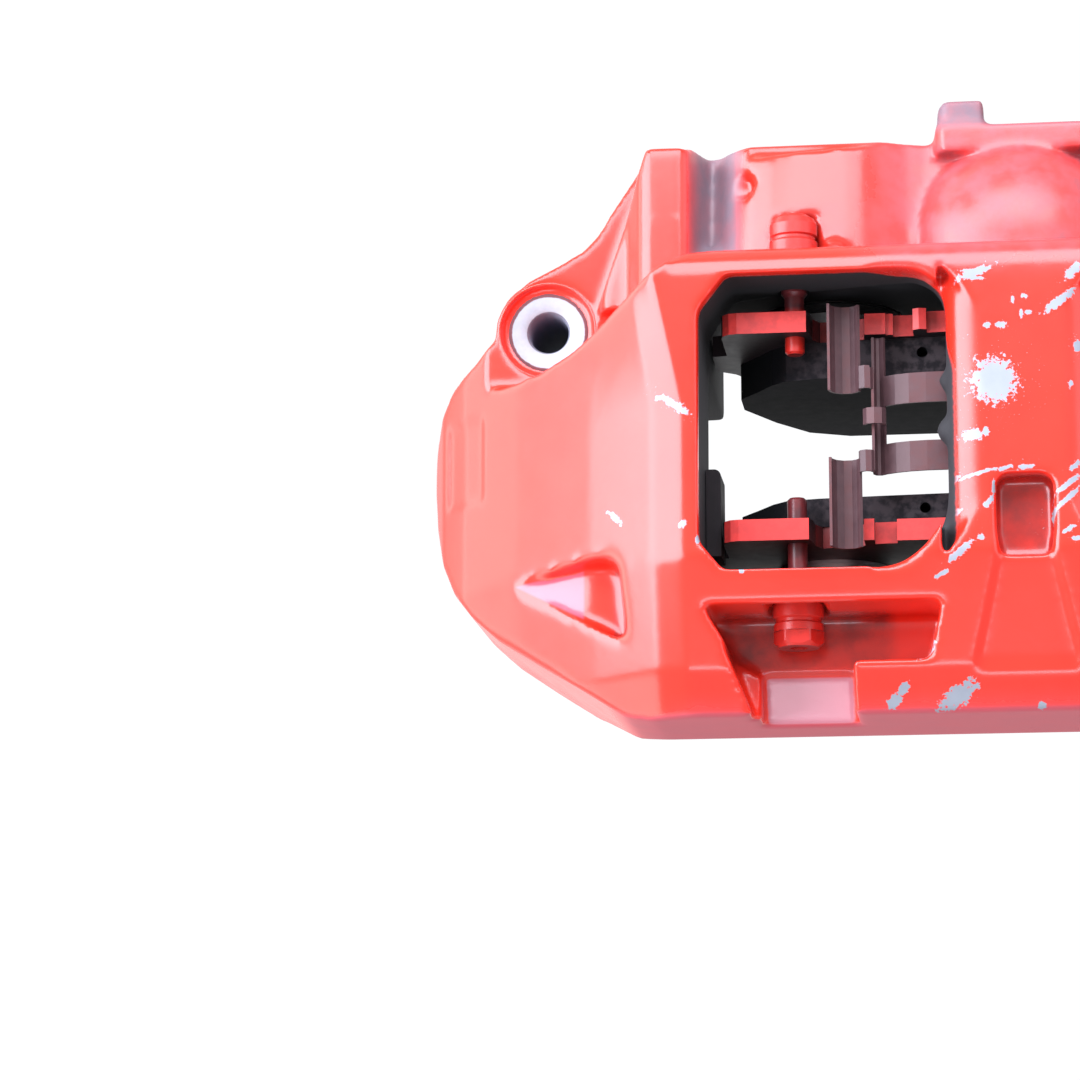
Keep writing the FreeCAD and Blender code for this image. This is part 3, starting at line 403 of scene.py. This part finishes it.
paint = red_paint()

# ---------------------------------------------------------------- cast body
voxel = 0.0010
body = remeshed(nodes["caliper_body"], "body_casting", voxel)
co = coords(body.data)
e = edges_of(body.data)
w = np.ones(len(co))
steps = int(round(7 * (0.0010 / voxel) ** 2))
co = relax(co, e, steps, w)
# broader rolls round the window's corner by the bridge and along its edges
X, Y, Z = co[:, 0], co[:, 1], co[:, 2]
AX = np.abs(X)
roll = step01(AX, 0.026, 0.034) * step01(-AX, -0.046, -0.040) * step01(Z, 0.097, 0.101) * step01(Y, -0.095, -0.085) * step01(-Y, -0.008, 0.0)
steps2 = int(round(40 * (0.0010 / voxel) ** 2))
co = relax(co, e, steps2, roll)
# rolls round the shoulder pockets
X, Y, Z = co[:, 0], co[:, 1], co[:, 2]
AX = np.abs(X)
roll = step01(AX, 0.108, 0.116) * step01(-AX, -0.166, -0.158) * step01(-Y, 0.070, 0.076) * step01(Y, -0.112, -0.106) * step01(Z, 0.050, 0.058)
co = relax(co, e, int(round(14 * (0.0010 / voxel) ** 2)), roll)
set_coords(body.data, co)
thin_out(body, 0.36)
body.data.polygons.foreach_set("use_smooth", [True] * len(body.data.polygons))
print("body faces", len(body.data.polygons))
only(body, paint)
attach(body, "caliper")
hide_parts("caliper_body")


def lathe(name, profile, centre, segments=96):
    """A turned piece about Z from (radius, z) pairs in millimetres."""
    verts, faces = [], []
    m = len(profile)
    for i in range(segments):
        a = 2 * math.pi * i / segments
        for r, z in profile:
            verts.append((centre[0] + r / 1000 * math.cos(a), centre[1] + r / 1000 * math.sin(a), z / 1000))
    for i in range(segments):
        j = (i + 1) % segments
        for q in range(m - 1):
            faces.append((i * m + q, j * m + q, j * m + q + 1, i * m + q + 1))
    ob = new_object(name, verts, faces)
    return ob


# ---------------------------------------------------------------- other parts
def simple(name, color, rough=0.5, metal=0.0, scale=300, amount=0.00005):
    k = Mat(name)
    n = k.noise(scale, 3, 0.6)
    c = k.mix(n, tuple(x * 0.8 for x in color), tuple(min(1, x * 1.15) for x in color))
    return k.bsdf(c, k.fmix(n, max(0.05, rough - 0.08), min(1, rough + 0.08)), metal, k.bump(n, amount, 0.4))


def coated(name, below, rough=0.5, metal=0.0, red=(0.70, 0.035, 0.028), zlo=0.080, zhi=0.088, nlo=0.35, nhi=0.75, dirt=0.35, strength=1.0, spec=0.3, shade_bands=()):
    """Red overspray that came down from above, over a dirty base; in the pads, lining and plates the base is darker
    still as painted shade.
    """
    k = Mat(name)
    big = k.noise(60, 3, 0.6)
    mid = k.noise(260, 4, 0.6, (0.2, 0.4, 0.1))
    base = k.mix(mid, tuple(x * 0.6 for x in below), tuple(min(1, x * 1.3) for x in below))
    up = times(k, k.ramp(k.nz, nlo, nhi), k.ramp(k.z, zlo, zhi))
    up = k.math("MULTIPLY", up, k.fmix(k.ramp(mid, 0.40, 0.62), strength, strength * (1 - dirt)))
    c = k.mix(up, base, k.mix(big, red, tuple(x * 0.8 for x in red)))
    # painted shade: dark bands across the listed spans of y
    for lo, hi in shade_bands:
        c = k.mix(k.math("MULTIPLY", inside(k, k.y, lo, hi, 1.2), k.fmix(mid, 0.7, 1.0)), c, (0.030, 0.013, 0.016))
    r = k.fmix(up, k.fmix(mid, max(0.05, rough - 0.1), min(1, rough + 0.1)), 0.32)
    return k.bsdf(c, r, metal, k.bump(mid, 0.00008, 0.4), Specular_IOR_Level=spec)


# the near-black bases of the pad steel, friction lining and plate steel are dirt and painted shade
mats = {
    "pad_steel": coated("pad_steel_dirty_shaded", (0.012, 0.007, 0.008), 0.5, 0.0, (0.60, 0.042, 0.038), 0.074, 0.086, 0.3, 0.7, 0.2),
    "friction": coated("friction_lining", (0.0045, 0.0045, 0.006), 0.85, 0.0, (0.050, 0.034, 0.038), 0.070, 0.084, 0.5, 0.9, 0.8, 0.7, 0.15),
    "piston_alloy": simple("piston_alloy", (0.5, 0.5, 0.5), 0.4, 1.0),
    "seal_rubber": simple("seal_rubber", (0.02, 0.02, 0.02), 0.7),
    "spring_steel": coated("spring_steel", (0.060, 0.030, 0.033), 0.40, 0.0, (0.13, 0.040, 0.038), 0.080, 0.10, 0.90, 0.99, 0.6, 0.5, 0.24),
    "pin_steel": coated("pin_oversprayed", (0.16, 0.014, 0.014), 0.3, 0.0, (0.50, 0.018, 0.012), 0.072, 0.086, -0.1, 0.45, 0.25, 1.0, 0.4, ((-3.5, 8.0), (-90.0, -57.0))),
    "zinc_steel": simple("zinc_steel", (0.55, 0.52, 0.45), 0.4, 1.0),
    "plate_steel": coated("plate_steel_dirty_shaded", (0.012, 0.009, 0.010), 0.6, 0.0, (0.05, 0.02, 0.02), 0.2, 0.3, spec=0.12),
}
slot_of = {s["node"]: s["material_slot"] for s in frame["record"]["subparts"]}
for n, ob in nodes.items():
    s = slot_of.get(n)
    if s in mats:
        only(ob, mats[s])


def ring_metal():
    k = Mat("lug_seat_bare")
    n = k.noise(500, 4, 0.6)
    ax = k.math("SUBTRACT", k.math("ABSOLUTE", k.x), 0.1444)
    r = k.math("SQRT", k.math("ADD", k.math("MULTIPLY", ax, ax), k.math("MULTIPLY", k.y, k.y)))
    edge = k.math("ADD", r, k.math("MULTIPLY", k.math("SUBTRACT", n, 0.5), 0.0007))
    seat = k.mix(n, (0.21, 0.225, 0.25), (0.28, 0.30, 0.33))
    # painted shade: the painted counterbore floor from 11.5 mm out to the wall is a dark red, standing in for the shade
    # of the seat wall
    seat = k.mix(k.ramp(edge, 0.01110, 0.01150), seat, k.mix(n, (0.115, 0.016, 0.020), (0.060, 0.016, 0.020)))
    seat = k.mix(k.ramp(k.z, 0.0551, 0.0548), seat, (0.10, 0.10, 0.12))
    return k.bsdf(seat, 0.5, 0.0, k.bump(n, 0.00004, 0.3), Specular_IOR_Level=0.3)


def bore_metal():
    k = Mat("lug_bore_dark")
    n = k.noise(400, 3, 0.6)
    # painted shade: the bore wall darkens further down the hole
    c = k.mix(k.ramp(k.z, 0.040, 0.0545), (0.10, 0.105, 0.15), (0.15, 0.16, 0.20))
    return k.bsdf(c, k.fmix(n, 0.7, 0.9), 0.0, Specular_IOR_Level=0.12)


bare, dark_bore = ring_metal(), bore_metal()
for side, sx in (("left", -1), ("right", 1)):
    ring = lathe("lug_seat_" + side, [(14.3, 55.02), (14.25, 55.22), (11.4, 55.24), (6.95, 55.24), (6.42, 54.6)], (sx * 0.1444, 0.0))
    only(ring, bare)
    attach(ring, "caliper")
    rim = lathe("lug_rim_" + side, [(15.9, 56.9), (15.6, 57.6), (15.1, 57.95), (14.75, 57.95), (14.42, 57.6), (14.36, 55.0)], (sx * 0.1444, 0.0))
    only(rim, paint)
    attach(rim, "caliper")
    bore = lathe("lug_bore_" + side, [(6.42, 54.6), (6.10, 53.6), (6.10, 30.0), (6.10, 1.0)], (sx * 0.1444, 0.0))
    only(bore, dark_bore)
    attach(bore, "caliper")

# ---------------------------------------------------------------- stage
w = bpy.data.worlds.new("studio")
scene.world = w
w.use_nodes = True
bg = w.node_tree.nodes["Background"]
bg.inputs[0].default_value = (0.96, 0.97, 1.0, 1)
bg.inputs[1].default_value = 0.8

floor = new_object("floor", [(-3, -3, -0.0006), (3, -3, -0.0006), (3, 3, -0.0006), (-3, 3, -0.0006)], [(0, 1, 2, 3)], False)
fm = Mat("floor_white")
em = fm.t.nodes.new("ShaderNodeEmission")
em.inputs[0].default_value = (0.98, 0.985, 1.0, 1)
fm.link(fm.ramp(fm.x, -0.42, -0.22, 5.0, 1.04), em.inputs[1])
fm.t.links.new(em.outputs[0], fm.out.inputs[0])
only(floor, fm.m)
floor.visible_diffuse = False


def area(name, loc, target, wide, high, radiance):
    l = bpy.data.lights.new(name, "AREA")
    l.shape = "RECTANGLE"
    l.size = wide
    l.size_y = high
    l.energy = radiance * math.pi * wide * high
    l.color = (0.84, 0.88, 1.0)
    ob = bpy.data.objects.new(name, l)
    ob.location = loc
    ob.rotation_euler = (Vector(target) - Vector(loc)).to_track_quat("-Z", "Y").to_euler()
    coll.objects.link(ob)
    return ob


area("soft_left", (-1.15, 0.16, 0.74), (0, 0.16, 0.15), 1.5, 1.25, 12.5)
area("soft_right", (1.2, 0.1, 0.70), (0, 0, 0.05), 1.3, 1.1, 2.0)
area("soft_back", (0.0, 0.80, 1.02), (0, 0, 0.05), 1.5, 0.80, 11.0)
area("soft_front", (0, -1.02, 0.86), (0, 0, 0.05), 1.0, 0.26, 8.0)

# ---------------------------------------------------------------- camera
C = Vector((0, -0.298329, 1.191357))
T = Vector((-0.139968, -0.076359, 0.110))
F = (T - C).normalized()
R = F.cross(Vector((0, 1, 0))).normalized()
U = R.cross(F)
M = Matrix((R, U, -F)).transposed().to_4x4()
M.translation = C
cam = bpy.data.cameras.new("camera")
cam.lens = 3833 / 1080 * 36
cam.sensor_width = 36
cam.clip_start = 0.01
cam_ob = bpy.data.objects.new("camera", cam)
cam_ob.matrix_world = M
coll.objects.link(cam_ob)
scene.camera = cam_ob
scene.view_settings.view_transform = "Standard"
scene.view_settings.look = "None"
scene.view_settings.exposure = 0.0
scene.view_settings.gamma = 1.0
